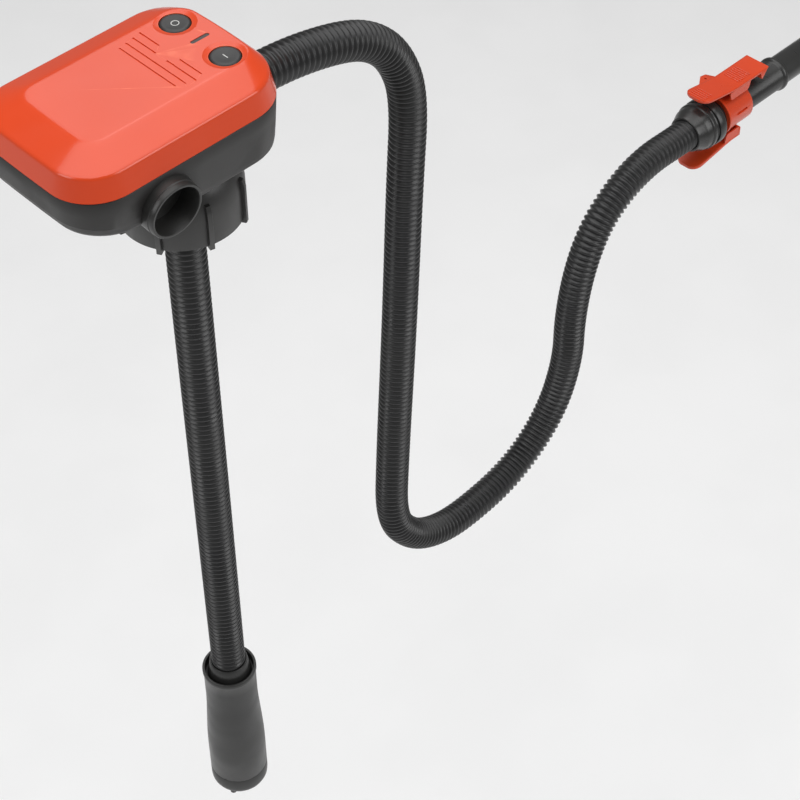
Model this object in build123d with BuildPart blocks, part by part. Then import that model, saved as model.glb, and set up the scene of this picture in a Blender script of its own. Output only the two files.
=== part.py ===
"""Battery transfer pump that screws on the neck of a fuel or water can.

A housing with the battery and the two switches sits on a screw collar.  A corrugated
suction hose hangs through the collar and carries a submersible pump head.  A second
hose leaves the housing's end and carries a nozzle with a sprung clip.

Frame: millimetres, +Z up.  The origin is on the suction axis, in the plane of the
collar's open mouth.  +X points along the housing to the outlet, -Y to the nozzle holder.
"""
from build123d import *
from math import cos, pi, radians, sin, tan
import os

os.makedirs("parts", exist_ok=True)

# Housing
parting_z = 75.3            # seam between the top cover and the lower housing
body_x0, body_x1 = -88.0, 40.5
body_half_width = 46.9
body_corner_r = 25.0
end_bulge = 2.0             # crown of the outlet end
ridge_z, ridge_inset = 88.4, 2.8
plateau_z = 94.5
plateau_x0, plateau_x1 = -68.0, 33.0
plateau_half_width = 27.3
plateau_corner_r = 9.0
cover_wall = 2.4
base_wall = 3.0
base_floor = 2.2
base_bottom_z = 44.0
base_draft = 1.8            # the bottom is this much smaller all round
base_edge_r = 7.0
tail_rise = 9.0             # the floor climbs this much from tail_x to the free end
tail_x = -22.0
tail_post_points = [(-81, 24), (-81, -24)]
front_post_points = [(24, 33), (24, -33)]
post_points = tail_post_points + front_post_points
post_r, screw_r, screw_head_r = 4.0, 1.5, 2.9

# Buttons and board
button_x, button_y = 21.2, 18.5
button_r, button_gap = 8.0, 0.08
button_top_z = 94.2
sleeve_bottom_z = 89.6
dish_r, dish_depth = 11.0, 1.6
board_z, board_thickness = 75.0, 1.6
board_x0, board_x1, board_half_width = 6.0, 34.0, 25.5
slot_length, slot_width = 11.4, 2.5

# Battery
cell_r, cell_length, cell_z = 9.2, 65.0, 68.0
cell_xs = [-66.5, -47.5, -28.5]

# Charging socket
charge_x, charge_z, charge_r = 10.0, 62.0, 5.0

# Hoses
hose_r, hose_bore_r = 11.0, 8.5
tail_r = 8.0                # spigot tail inside the hose
duct_r, duct_bore_r = 8.4, 6.6
outlet_z = 55.0
outlet_face_x = 45.0
outlet_flange_r = 11.4
suction_top_z = 36.0
suction_end_z = -400.0
nozzle_z = -196.0
nozzle_hose_end_x = 444.0

# Neck and collar
neck_r, neck_gap = 19.9, 0.08
flange_r, flange_bottom_z, flange_top_z = 27.4, 30.0, 33.0
collar_r, rib_r = 33.4, 35.3
collar_bore_r = 29.4
collar_shoulder_z = 18.0
collar_top_z = 40.0
rib_count, first_rib_angle = 8, -59.0

# Nozzle holder
holder_tilt = 6.0           # degrees, mouth down
holder_x, holder_mouth_y, holder_z = -41.5, -53.0, 55.5
holder_r, holder_bore_r = 15.7, 13.5
holder_depth, holder_floor = 12.0, 2.0

# Pump head
head_top_z, head_seam_z, head_bottom_z = -391.6, -500.0, -517.0
lip_r, waist_r, belly_r = 17.6, 17.0, 19.3
motor_top_z, motor_bottom_z, motor_r = -408.0, -446.0, 12.2
shaft_r = 1.15

# Nozzle and clip
pipe_r, pipe_bore_r = 11.2, 9.5
bead_x, bead_r = 527.0, 12.6
spout_r, spout_bore_r, spout_end_x = 10.6, 8.0, 622.0
clip_x0, clip_x1 = 461.0, 487.0
band_r = 14.0
clip_lean = 1.5             # the clip is turned this far round the pipe, top towards +Y
lever_width = 19.4
pivot_x, pivot_n, knuckle_r = 474.5, 18.0, 1.4


def save(piece, label):
    """Label a finished piece and write its STEP file."""
    piece.part.label = label
    export_step(piece.part, f"parts/{label}.step")


def outline(x0, x1, half_width, corner_r, bulge):
    """Rounded plan with straight sides and bulged ends, as a sketch of its own."""
    with BuildSketch() as plan:
        with BuildLine():
            Line((x0, half_width), (x1, half_width))
            ThreePointArc((x1, half_width), (x1 + bulge, 0), (x1, -half_width))
            Line((x1, -half_width), (x0, -half_width))
            ThreePointArc((x0, -half_width), (x0 - bulge * 0.4, 0), (x0, half_width))
        make_face()
        fillet(plan.vertices(), corner_r)
    return plan.sketch


def housing_plan(inset):
    """The housing's plan at the seam, drawn in by inset."""
    half_width = body_half_width - inset
    return outline(body_x0 + inset, body_x1 - inset, half_width, body_corner_r - inset, end_bulge)


def plateau_plan(inset):
    """The raised flat top of the cover, drawn in by inset."""
    half_width = plateau_half_width - inset
    corner_r = plateau_corner_r - inset
    return outline(plateau_x0 + inset, plateau_x1 - inset, half_width, corner_r, end_bulge / 2)


def ring(outer_r, inner_r):
    """Flat ring, as a sketch of its own."""
    with BuildSketch() as flat_ring:
        Circle(outer_r)
        Circle(inner_r, mode=Mode.SUBTRACT)
    return flat_ring.sketch


housing_plans = {inset: housing_plan(inset) for inset in (0, 1.0, 2.0)}

# ---------------------------------------------------------------- top cover
button_points = [(button_x, button_y), (button_x, -button_y)]
board_post_points = [(9.0, 22.5), (9.0, -22.5), (32.0, 5.0), (32.0, -5.0)]
groove_rows = [(-11.4, 21, -20.5), (-6.6, 22, -22.5), (-1.6, 23, 5.5), (-1.6, -2.5, -24)]
groove_rows += [(3.4, 24, 9), (3.4, -6, -22)]
ceiling_z = plateau_z - cover_wall
shelf_z = ridge_z - cover_wall
dish_sphere_r = (dish_r**2 + dish_depth**2) / (2 * dish_depth)
dish_centre_z = plateau_z - dish_depth + dish_sphere_r
board_top_z = board_z + board_thickness

with BuildPart() as top_cover:
    with BuildSketch(Plane.XY.offset(parting_z)):
        add(housing_plan(0))
    with BuildSketch(Plane.XY.offset(ridge_z)):
        add(housing_plan(ridge_inset))
    loft(ruled=True)
    with BuildSketch(Plane.XY.offset(ridge_z)):
        add(housing_plan(ridge_inset))
    with BuildSketch(Plane.XY.offset(plateau_z)):
        add(plateau_plan(0))
    loft(ruled=True)
    at_ridge = top_cover.edges().filter_by_position(Axis.Z, ridge_z - 0.01, ridge_z + 0.01)
    fillet(at_ridge, 1.6)
    with BuildSketch(Plane.XY.offset(parting_z)):
        add(housing_plan(cover_wall))
    with BuildSketch(Plane.XY.offset(shelf_z)):
        add(housing_plan(ridge_inset + cover_wall))
    loft(ruled=True, mode=Mode.SUBTRACT)
    with BuildSketch(Plane.XY.offset(shelf_z)):
        add(housing_plan(ridge_inset + cover_wall))
    with BuildSketch(Plane.XY.offset(ceiling_z)):
        add(plateau_plan(1.5))
    loft(ruled=True, mode=Mode.SUBTRACT)
    # Guide sleeves under the buttons, and posts for the screws and the board.
    with BuildSketch(Plane.XY.offset(sleeve_bottom_z)):
        with Locations(*button_points):
            Circle(button_r + 2.4)
    extrude(amount=ceiling_z - sleeve_bottom_z + 0.2)
    for points, post_top_z in ((tail_post_points, ridge_z - 1), (front_post_points, ridge_z + 1.8)):
        with BuildSketch(Plane.XY.offset(parting_z)):
            with Locations(*points):
                Circle(post_r)
        extrude(amount=post_top_z - parting_z)
    with BuildSketch(Plane.XY.offset(board_top_z)):
        with Locations(*board_post_points):
            Circle(2.2)
    extrude(amount=ceiling_z - board_top_z + 0.2)
    # Dished seats, button bores, indicator slot, shallow grooves and screw holes.
    with Locations(*[(x, y, dish_centre_z) for x, y in button_points]):
        Sphere(dish_sphere_r, mode=Mode.SUBTRACT)
    with BuildSketch(Plane.XY.offset(plateau_z)):
        with Locations(*button_points):
            Circle(button_r + button_gap)
    extrude(amount=-(plateau_z - sleeve_bottom_z), mode=Mode.SUBTRACT)
    with BuildSketch(Plane.XY.offset(plateau_z)):
        with Locations((button_x, 0)):
            SlotOverall(slot_length, slot_width)
    extrude(amount=-cover_wall, mode=Mode.SUBTRACT)
    with BuildSketch(Plane.XY.offset(plateau_z)):
        for x, y_far, y_near in groove_rows:
            with Locations((x, (y_far + y_near) / 2)):
                SlotOverall(y_far - y_near, 0.9, rotation=90)
    extrude(amount=-0.5, mode=Mode.SUBTRACT)
    with BuildSketch(Plane.XY.offset(parting_z)):
        with Locations(*post_points):
            Circle(screw_r)
    extrude(amount=9, mode=Mode.SUBTRACT)
    with BuildSketch(Plane.XY.offset(board_top_z)):
        with Locations(*board_post_points):
            Circle(1.0)
    extrude(amount=6, mode=Mode.SUBTRACT)
save(top_cover, "top_cover")

# ---------------------------------------------------------------- lower housing
holder_axis = (0, -cos(radians(holder_tilt)), -sin(radians(holder_tilt)))
holder_mouth = Plane((holder_x, holder_mouth_y, holder_z), x_dir=(1, 0, 0), z_dir=holder_axis)
with BuildPart() as lower_housing:
    with BuildSketch(Plane.XY.offset(base_bottom_z)):
        add(housing_plan(base_draft))
    with BuildSketch(Plane.XY.offset(parting_z)):
        add(housing_plans[0])
    loft(ruled=True)
    fillet(lower_housing.faces().sort_by(Axis.Z)[0].edges(), base_edge_r)
    with BuildSketch(Plane.XZ):
        with BuildLine():
            Polyline(
                (tail_x, base_bottom_z),
                (body_x0 - 4, base_bottom_z + tail_rise),
                (body_x0 - 4, base_bottom_z - 1),
                (tail_x, base_bottom_z - 1),
                close=True,
            )
        make_face()
    extrude(amount=body_half_width + 5, both=True, mode=Mode.SUBTRACT)
    # Cavity: a shallow tray over the whole plan and a deeper well under the ducts.
    with BuildSketch(Plane.XY.offset(base_bottom_z + base_floor + tail_rise)):
        add(housing_plan(base_wall + base_draft * 0.7))
    with BuildSketch(Plane.XY.offset(parting_z)):
        add(housing_plan(base_wall))
    loft(ruled=True, mode=Mode.SUBTRACT)
    with BuildSketch(Plane.XY.offset(base_bottom_z + base_floor)):
        with Locations((4.5, 0)):
            RectangleRounded(58, 68, 12)
    extrude(amount=tail_rise, mode=Mode.SUBTRACT)
    # Screw posts, seal groove, neck hole, outlet hole and charging hole.
    with BuildSketch(Plane.XY.offset(parting_z)):
        with Locations(*post_points):
            Circle(post_r)
    extrude(amount=-(parting_z - base_bottom_z - tail_rise - 2))
    with BuildSketch(Plane.XY.offset(parting_z)):
        with Locations(*post_points):
            Circle(screw_r + 0.15)
    extrude(amount=-40, mode=Mode.SUBTRACT)
    with BuildSketch(Plane.XY.offset(base_bottom_z - 1)):
        with Locations(*post_points):
            Circle(screw_head_r + 0.3)
    extrude(amount=tail_rise + 12, mode=Mode.SUBTRACT)
    with BuildSketch(Plane.XY.offset(parting_z)):
        add(housing_plans[1.0])
        add(housing_plans[2.0], mode=Mode.SUBTRACT)
    extrude(amount=-0.8, mode=Mode.SUBTRACT)
    with BuildSketch(Plane.XY.offset(base_bottom_z - 1)):
        Circle(neck_r + 0.05)
    extrude(amount=base_floor + 2, mode=Mode.SUBTRACT)
    with BuildSketch(Plane.YZ.offset(outlet_face_x - 15)):
        with Locations((0, outlet_z)):
            Circle(duct_r + 0.05)
    extrude(amount=16, mode=Mode.SUBTRACT)
    with BuildSketch(Plane.YZ.offset(outlet_face_x - 4)):
        with Locations((0, outlet_z)):
            Circle(outlet_flange_r + 0.05)
    extrude(amount=8, mode=Mode.SUBTRACT)
    with BuildSketch(Plane.XZ.offset(-body_half_width - 2)):
        with Locations((charge_x, charge_z)):
            Circle(charge_r + 0.05)
    extrude(amount=12, mode=Mode.SUBTRACT)
    # Seat of the nozzle holder, cut through the near wall.
    with BuildSketch(holder_mouth):
        Circle(holder_r)
    extrude(amount=-(holder_depth + holder_floor), mode=Mode.SUBTRACT)
save(lower_housing, "lower_housing")

with BuildPart() as housing_gasket:
    with BuildSketch(Plane.XY.offset(parting_z)):
        add(housing_plans[1.0])
        add(housing_plans[2.0], mode=Mode.SUBTRACT)
    extrude(amount=-0.8)
save(housing_gasket, "housing_gasket")

# Four self-tapping screws, driven up from below.
screw_seat_z = base_bottom_z + tail_rise + 11
head_height = 2.2
with BuildPart() as housing_screws:
    with BuildSketch(Plane.XY.offset(screw_seat_z)):
        with Locations(*post_points):
            Circle(screw_r)
    extrude(amount=parting_z + 8 - screw_seat_z)
    with BuildSketch(Plane.XY.offset(screw_seat_z)):
        with Locations(*post_points):
            Circle(screw_head_r)
    extrude(amount=-head_height)
    with BuildSketch(Plane.XY.offset(screw_seat_z - head_height)):
        with Locations(*post_points):
            Rectangle(3.6, 0.8)
            Rectangle(0.8, 3.6)
    extrude(amount=1.2, mode=Mode.SUBTRACT)
save(housing_screws, "housing_screws")

# ---------------------------------------------------------------- buttons and board
button_foot_z = sleeve_bottom_z - 1.6
for label, side in (("off_button", 1), ("on_button", -1)):
    with BuildPart() as button:
        with BuildSketch(Plane.XY.offset(button_foot_z)):
            with Locations((button_x, side * button_y)):
                Circle(button_r)
        extrude(amount=button_top_z - button_foot_z)
        fillet(button.faces().sort_by(Axis.Z)[-1].edges(), 1.2)
        with BuildSketch(Plane.XY.offset(button_foot_z)):
            with Locations((button_x, side * button_y)):
                Circle(button_r + 1.6)
        extrude(amount=1.4)
        with BuildSketch(Plane.XY.offset(button_foot_z)):
            with Locations((button_x, side * button_y)):
                Circle(2.5)
        extrude(amount=-5.0)
    save(button, label)

lens_flange_z = ceiling_z - 1.2
with BuildPart() as indicator_lens:
    with BuildSketch(Plane.XY.offset(plateau_z - 0.3)):
        with Locations((button_x, 0)):
            SlotOverall(slot_length - 0.1, slot_width - 0.1)
    extrude(amount=-(plateau_z - 0.3 - ceiling_z))
    with BuildSketch(Plane.XY.offset(ceiling_z)):
        with Locations((button_x, 0)):
            SlotOverall(slot_length + 2.4, slot_width + 2.4)
    extrude(amount=lens_flange_z - ceiling_z)
save(indicator_lens, "indicator_lens")

with BuildPart() as control_board:
    with BuildSketch(Plane.XY.offset(board_z)):
        with Locations(((board_x0 + board_x1) / 2, 0)):
            RectangleRounded(board_x1 - board_x0, 2 * board_half_width, 2)
        with Locations(*board_post_points):
            Circle(1.15, mode=Mode.SUBTRACT)
    extrude(amount=board_thickness)
save(control_board, "control_board")

with BuildPart() as board_screws:
    with BuildSketch(Plane.XY.offset(board_z)):
        with Locations(*board_post_points):
            Circle(1.0)
    extrude(amount=6.5)
    with BuildSketch(Plane.XY.offset(board_z)):
        with Locations(*board_post_points):
            Circle(2.0)
    extrude(amount=-1.3)
save(board_screws, "board_screws")

for label, side in (("off_switch", 1), ("on_switch", -1)):
    with BuildPart() as switch:
        with BuildSketch(Plane.XY.offset(board_top_z)):
            with Locations((button_x, side * button_y)):
                Rectangle(12, 12)
        extrude(amount=3.4)
        with BuildSketch(Plane.XY.offset(board_top_z + 3.4)):
            with Locations((button_x, side * button_y)):
                Circle(3.3)
        extrude(amount=1.4)
    save(switch, label)

with BuildPart() as indicator_light:
    with BuildSketch(Plane.XY.offset(board_top_z)):
        with Locations((button_x, 0)):
            Rectangle(9.0, 2.4)
    extrude(amount=lens_flange_z - 0.4 - board_top_z)
save(indicator_light, "indicator_light")

connector_height = 7.0
connector_x0 = board_x0 + 1
with BuildPart() as board_connector:
    with BuildSketch(Plane.XY.offset(board_top_z)):
        with Locations((connector_x0 + 2.5, 0)):
            Rectangle(5, 16)
    extrude(amount=connector_height)
save(board_connector, "board_connector")

# ---------------------------------------------------------------- battery
cell_mid_x = (cell_xs[0] + cell_xs[-1]) / 2
cradle_length = cell_xs[-1] - cell_xs[0] + 20
cell_points = [(x, cell_z) for x in cell_xs]

with BuildPart() as battery_cells:
    with BuildSketch(Plane.XZ):
        with Locations(*cell_points):
            Circle(cell_r)
    extrude(amount=cell_length / 2, both=True)
save(battery_cells, "battery_cells")

with BuildPart() as battery_cradle:
    with BuildSketch(Plane.XY.offset(cell_z - cell_r - 2)):
        with Locations((cell_mid_x, 0)):
            RectangleRounded(cradle_length, cell_length + 5, 3)
    extrude(amount=8)
    with BuildSketch(Plane.XZ):
        with Locations(*cell_points):
            Circle(cell_r)
    extrude(amount=cell_length / 2, both=True, mode=Mode.SUBTRACT)
save(battery_cradle, "battery_cradle")

lead_start = cell_xs[-1] + cell_r
lead_z = board_top_z + 4
with BuildPart() as battery_leads:
    for side in (-1, 1):
        with BuildLine() as lead_path:
            FilletPolyline(
                (lead_start, side * 5, cell_z + 2),
                (-5, side * 5, cell_z + 2),
                (-5, side * 5, lead_z),
                (connector_x0, side * 5, lead_z),
                radius=4,
            )
        with BuildSketch(Plane.YZ.offset(lead_start)):
            with Locations((side * 5, cell_z + 2)):
                Circle(1.0)
        sweep(path=lead_path.line)
save(battery_leads, "battery_leads")

# Charging socket in the far wall, with its rubber plug pushed in.
with BuildPart() as charge_socket:
    with BuildSketch(Plane.XZ.offset(-body_half_width + 1.8)):
        with Locations((charge_x, charge_z)):
            add(ring(charge_r, 2.8))
    extrude(amount=10)
    with BuildSketch(Plane.XZ.offset(-body_half_width + 11.8)):
        with Locations((charge_x, charge_z)):
            Circle(charge_r)
    extrude(amount=2)
save(charge_socket, "charge_socket")

with BuildPart() as charge_plug:
    with BuildSketch(Plane.XZ.offset(-body_half_width - 1.2)):
        with Locations((charge_x, charge_z)):
            Circle(charge_r + 1.5)
    extrude(amount=1.2)
    fillet(charge_plug.faces().sort_by(Axis.Y)[-1].edges(), 0.5)
    with BuildSketch(Plane.XZ.offset(-body_half_width)):
        with Locations((charge_x, charge_z)):
            Circle(2.74)
    extrude(amount=8)
save(charge_plug, "charge_plug")

# ---------------------------------------------------------------- neck and collar
floor_top_z = base_bottom_z + base_floor
duct_cap_z = outlet_z + 10
with BuildPart() as neck_manifold:
    with BuildSketch(Plane.XZ):
        with BuildLine():
            Polyline(
                (0, flange_bottom_z - 4),
                (14, flange_bottom_z - 4),
                (14, flange_bottom_z),
                (flange_r, flange_bottom_z),
                (flange_r, flange_top_z),
                (neck_r, flange_top_z),
                (neck_r, floor_top_z),
                (23, floor_top_z),
                (23, floor_top_z + 0.7),
                (12, floor_top_z + 0.7),
                (12, duct_cap_z),
                (0, duct_cap_z),
                close=True,
            )
        make_face()
    revolve(axis=Axis.Z)
    with BuildSketch(Plane.YZ):
        with Locations((0, outlet_z)):
            Circle(duct_r)
    extrude(amount=30)
    with BuildSketch(Plane.YZ):
        with Locations((0, outlet_z)):
            Circle(duct_bore_r)
    extrude(amount=30, mode=Mode.SUBTRACT)
    with BuildSketch(Plane.XY.offset(flange_bottom_z - 4)):
        Circle(hose_r)
    extrude(amount=suction_top_z - flange_bottom_z + 4, mode=Mode.SUBTRACT)
    with BuildSketch(Plane.XY.offset(suction_top_z)):
        Circle(duct_bore_r)
    extrude(amount=outlet_z - suction_top_z, mode=Mode.SUBTRACT)
    with BuildSketch(Plane.XY.offset(outlet_z)):
        Circle(2.8)
    extrude(amount=10, mode=Mode.SUBTRACT)
save(neck_manifold, "neck_manifold")

with BuildPart() as cable_seal:
    with BuildSketch(Plane.XY.offset(outlet_z + 7)):
        add(ring(2.8, 2.0))
    extrude(amount=3)
    with BuildSketch(Plane.XY.offset(duct_cap_z)):
        add(ring(4.2, 2.0))
    extrude(amount=1)
save(cable_seal, "cable_seal")

with BuildPart() as collar_gasket:
    with BuildSketch(Plane.XY.offset(flange_bottom_z)):
        add(ring(flange_r, 14.0))
    extrude(amount=-2)
save(collar_gasket, "collar_gasket")

seat_r = collar_bore_r - 1.4
seat_z = flange_top_z + 0.3
with BuildPart() as screw_collar:
    with BuildSketch(Plane.XZ):
        with BuildLine():
            Line((collar_bore_r, 0), (collar_r - 1, 0))
            Line((collar_r - 1, 0), (collar_r, 1))
            Line((collar_r, 1), (collar_r, collar_shoulder_z))
            ThreePointArc((collar_r, collar_shoulder_z), (32.2, 27.5), (28.0, 35.0))
            Line((28.0, 35.0), (24.5, collar_top_z))
            Line((24.5, collar_top_z), (neck_r + neck_gap, collar_top_z))
            Line((neck_r + neck_gap, collar_top_z), (neck_r + neck_gap, seat_z))
            Line((neck_r + neck_gap, seat_z), (seat_r, seat_z))
            Line((seat_r, seat_z), (seat_r, 27))
            Line((seat_r, 27), (collar_bore_r, 26))
            Line((collar_bore_r, 26), (collar_bore_r, 0))
        make_face()
    revolve(axis=Axis.Z)
    # Grip ribs: they start low on the shoulder and end as nubs under the rim.
    with BuildSketch(Plane.XZ.rotated((0, 0, first_rib_angle))):
        with BuildLine():
            Polyline(
                (collar_bore_r + 1.5, -1.6),
                (rib_r - 0.6, -1.6),
                (rib_r, -0.6),
                (rib_r, 22.5),
                (rib_r - 1.6, 26.5),
                (collar_bore_r + 1.0, 27.0),
                close=True,
            )
        make_face()
    one_rib = extrude(amount=1.3, both=True)
    with PolarLocations(0, rib_count):
        add(one_rib)
    # Thread crests, drawn as plain rings at the thread's pitch.
    with BuildSketch(Plane.XZ):
        for z in (6, 12, 18):
            with Locations((collar_bore_r, z)):
                Polygon((0.2, -1.6), (0.2, 1.6), (-1.2, 0.4), (-1.2, -0.4), align=None)
    revolve(axis=Axis.Z)
save(screw_collar, "screw_collar")

# ---------------------------------------------------------------- nozzle holder
with BuildPart() as nozzle_holder:
    with BuildSketch(holder_mouth):
        Circle(holder_r)
    extrude(amount=-(holder_depth + holder_floor))
    with BuildSketch(holder_mouth):
        Circle(holder_bore_r)
    extrude(amount=-holder_depth, mode=Mode.SUBTRACT)
    # Relief groove round the floor.
    with BuildSketch(holder_mouth.offset(-holder_depth)):
        Circle(holder_bore_r + 0.3)
    extrude(amount=-0.6, mode=Mode.SUBTRACT)
save(nozzle_holder, "nozzle_holder")

# ---------------------------------------------------------------- outlet spigot
with BuildPart() as outlet_spigot:
    with BuildSketch(Plane.XZ):
        with BuildLine():
            Polyline(
                (30, outlet_z),
                (30, outlet_z + duct_r),
                (outlet_face_x - 4, outlet_z + duct_r),
                (outlet_face_x - 4, outlet_z + outlet_flange_r),
                (outlet_face_x, outlet_z + outlet_flange_r),
                (outlet_face_x, outlet_z + tail_r),
                (outlet_face_x + 12, outlet_z + tail_r),
                (outlet_face_x + 12, outlet_z),
                close=True,
            )
        make_face()
    revolve(axis=Axis((0, 0, outlet_z), (1, 0, 0)))
    with BuildSketch(Plane.YZ.offset(30)):
        with Locations((0, outlet_z)):
            Circle(duct_bore_r)
    extrude(amount=outlet_face_x - 18, mode=Mode.SUBTRACT)
save(outlet_spigot, "outlet_spigot")

# ---------------------------------------------------------------- hoses
with BuildPart() as suction_hose:
    with BuildSketch(Plane.XY.offset(suction_end_z)):
        add(ring(hose_r, hose_bore_r))
    extrude(amount=suction_top_z - suction_end_z)
save(suction_hose, "suction_hose")

discharge_route = [
    (outlet_face_x, outlet_z),
    (67.5, outlet_z),
    (106.4, 47.6),
    (132.7, 36.7),
    (152.2, 16.1),
    (163.7, -17.1),
    (160, -78.6),
    (155.8, -186.6),
    (149.6, -301),
    (147.4, -366.2),
    (165.6, -398.7),
    (188.2, -415.5),
    (217.2, -422.6),
    (269.1, -416.1),
    (308, -384.5),
    (323.4, -338.8),
    (321.7, -296.1),
    (328, -253.5),
    (341.9, -222.1),
    (366.5, -202.4),
    (392.0, -195.0),
    (418.0, nozzle_z),
    (nozzle_hose_end_x, nozzle_z),
]


def corner_radii(points):
    """Largest tangent arc for each corner: 0.45 of the shorter run over tan(half turn)."""
    radii = []
    for before, corner, after in zip(points, points[1:], points[2:]):
        run_in = Vector(*corner) - Vector(*before)
        run_out = Vector(*after) - Vector(*corner)
        half_turn = radians(run_in.get_angle(run_out)) / 2
        radii.append(0.45 * min(run_in.length, run_out.length) / tan(half_turn))
    return radii


route_points = [(x, 0, z) for x, z in discharge_route]
route_radii = corner_radii(route_points)
print("discharge hose radii:", [round(r) for r in route_radii])
with BuildLine() as discharge_path:
    FilletPolyline(*route_points, radius=route_radii)
with BuildPart() as discharge_hose:
    start = discharge_path.line @ 0
    with BuildSketch(Plane(start, z_dir=discharge_path.line % 0)):
        Circle(hose_r)
        Circle(hose_bore_r, mode=Mode.SUBTRACT)
    sweep(path=discharge_path.line)
save(discharge_hose, "discharge_hose")
hose_section = pi * (hose_r**2 - hose_bore_r**2)
print("discharge hose length:", round(discharge_path.wire().length, 1))
print("volume over section times length:",
      round(discharge_hose.part.volume / hose_section / discharge_path.wire().length, 4))

# The motor's cable runs up the middle of the suction hose to the board.
cable_bottom_z, cable_top_z = motor_top_z + 3, board_top_z + 4
cable_r = 1.9
with BuildPart() as motor_cable:
    with BuildLine() as cable_path:
        FilletPolyline(
            (0, 0, cable_bottom_z),
            (0, 0, cable_top_z),
            (connector_x0, 0, cable_top_z),
            radius=5,
        )
    with BuildSketch(Plane.XY.offset(cable_bottom_z)):
        Circle(cable_r)
    sweep(path=cable_path.line)
save(motor_cable, "motor_cable")

# ---------------------------------------------------------------- pump head
shell_wall = 2.0
with BuildPart() as suction_cuff:
    with BuildSketch(Plane.XZ):
        with BuildLine():
            Polyline(
                (hose_r, -384),
                (12.2, -384),
                (14.2, -398),
                (lip_r - shell_wall, -398),
                (lip_r - shell_wall, -402),
                (6, -402),
                (6, suction_end_z),
                (hose_r, suction_end_z),
                close=True,
            )
        make_face()
    revolve(axis=Axis.Z)
save(suction_cuff, "suction_cuff")

shell_points = [
    (lip_r - shell_wall, head_top_z - 0.6),
    (lip_r - 0.7, head_top_z),
    (lip_r, head_top_z - 0.8),
    (lip_r, head_top_z - 3.2),
    (waist_r, head_top_z - 4.2),
    (waist_r, -420),
]
seat_inner_r = waist_r - shell_wall
with BuildPart() as pump_head_shell:
    with BuildSketch(Plane.XZ):
        with BuildLine():
            Polyline(*shell_points)
            Spline((waist_r, -420), (18.4, -447), (belly_r, -475), tangents=[(0, -1), (0, -1)])
            Polyline(
                (belly_r, -475),
                (belly_r, head_seam_z),
                (belly_r - shell_wall, head_seam_z),
                (belly_r - shell_wall, -449),
                (seat_inner_r, -443.5),
                (seat_inner_r, -402),
                (lip_r - shell_wall, -402),
                (lip_r - shell_wall, head_top_z - 0.6),
            )
        make_face()
    revolve(axis=Axis.Z)
    # Three inner ribs centre the motor.
    with BuildSketch(Plane.XY.offset(motor_bottom_z)):
        with PolarLocations(14, 3):
            Rectangle(4, 2.4)
        Circle(motor_r, mode=Mode.SUBTRACT)
    extrude(amount=30)
save(pump_head_shell, "pump_head_shell")

with BuildPart() as motor_can:
    with BuildSketch(Plane.XY.offset(motor_bottom_z)):
        add(ring(motor_r, motor_r - 0.8))
    extrude(amount=motor_top_z - motor_bottom_z)
    with BuildSketch(Plane.XY.offset(motor_bottom_z)):
        add(ring(motor_r - 0.8, 2.6))
    extrude(amount=0.8)
save(motor_can, "motor_can")

with BuildPart() as motor_end_cap:
    with BuildSketch(Plane.XY.offset(motor_top_z - 1)):
        add(ring(motor_r - 0.8, 2.6))
    extrude(amount=1)
    with BuildSketch(Plane.XY.offset(motor_top_z)):
        add(ring(motor_r, 2.6))
    extrude(amount=3)
save(motor_end_cap, "motor_end_cap")

with BuildPart() as motor_bushes:
    with BuildSketch(Plane.XY.offset(motor_bottom_z)):
        add(ring(2.6, shaft_r + 0.05))
    extrude(amount=2)
    with BuildSketch(Plane.XY.offset(motor_top_z - 1)):
        add(ring(2.6, shaft_r + 0.05))
    extrude(amount=4)
save(motor_bushes, "motor_bushes")

with BuildPart() as motor_magnets:
    with BuildSketch(Plane.XY.offset(motor_bottom_z + 5)):
        Circle(motor_r - 0.8)
        Circle(9.6, mode=Mode.SUBTRACT)
        Rectangle(40, 6, mode=Mode.SUBTRACT)
    extrude(amount=26)
save(motor_magnets, "motor_magnets")

with BuildPart() as motor_shaft:
    with BuildSketch(Plane.XY.offset(-467)):
        Circle(shaft_r)
    extrude(amount=motor_top_z + 2 + 467)
save(motor_shaft, "motor_shaft")

with BuildPart() as armature:
    with BuildSketch(Plane.XY.offset(motor_bottom_z + 7)):
        Circle(9.2)
        with PolarLocations(7.4, 5):
            Rectangle(4.4, 2.2, mode=Mode.SUBTRACT)
        Circle(shaft_r, mode=Mode.SUBTRACT)
    extrude(amount=21)
save(armature, "armature")

commutator_z = motor_bottom_z + 30
with BuildPart() as commutator:
    with BuildSketch(Plane.XY.offset(commutator_z)):
        add(ring(3.6, shaft_r))
    extrude(amount=5)
save(commutator, "commutator")

with BuildPart() as brushes:
    with BuildSketch(Plane.XY.offset(commutator_z + 1.5)):
        with Locations((5.9, 0), (-5.9, 0)):
            Rectangle(4.4, 2.4)
    extrude(amount=motor_top_z - 1 - commutator_z - 1.5)
save(brushes, "brushes")

plate_z, plate_top_z = -452.0, -449.0
chamber_r = belly_r - shell_wall
with BuildPart() as seal_plate:
    with BuildSketch(Plane.XY.offset(plate_z)):
        Circle(chamber_r)
        Circle(3.6, mode=Mode.SUBTRACT)
        with PolarLocations(13.6, 3, start_angle=60):
            SlotOverall(6, 2.6, rotation=90, mode=Mode.SUBTRACT)
    extrude(amount=plate_top_z - plate_z)
    with BuildSketch(Plane.XY.offset(plate_top_z)):
        add(ring(6.0, 3.6))
    extrude(amount=motor_bottom_z - plate_top_z)
save(seal_plate, "seal_plate")

with BuildPart() as shaft_seal:
    with BuildSketch(Plane.XY.offset(plate_z)):
        add(ring(3.6, shaft_r + 0.06))
    extrude(amount=4)
save(shaft_seal, "shaft_seal")

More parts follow.
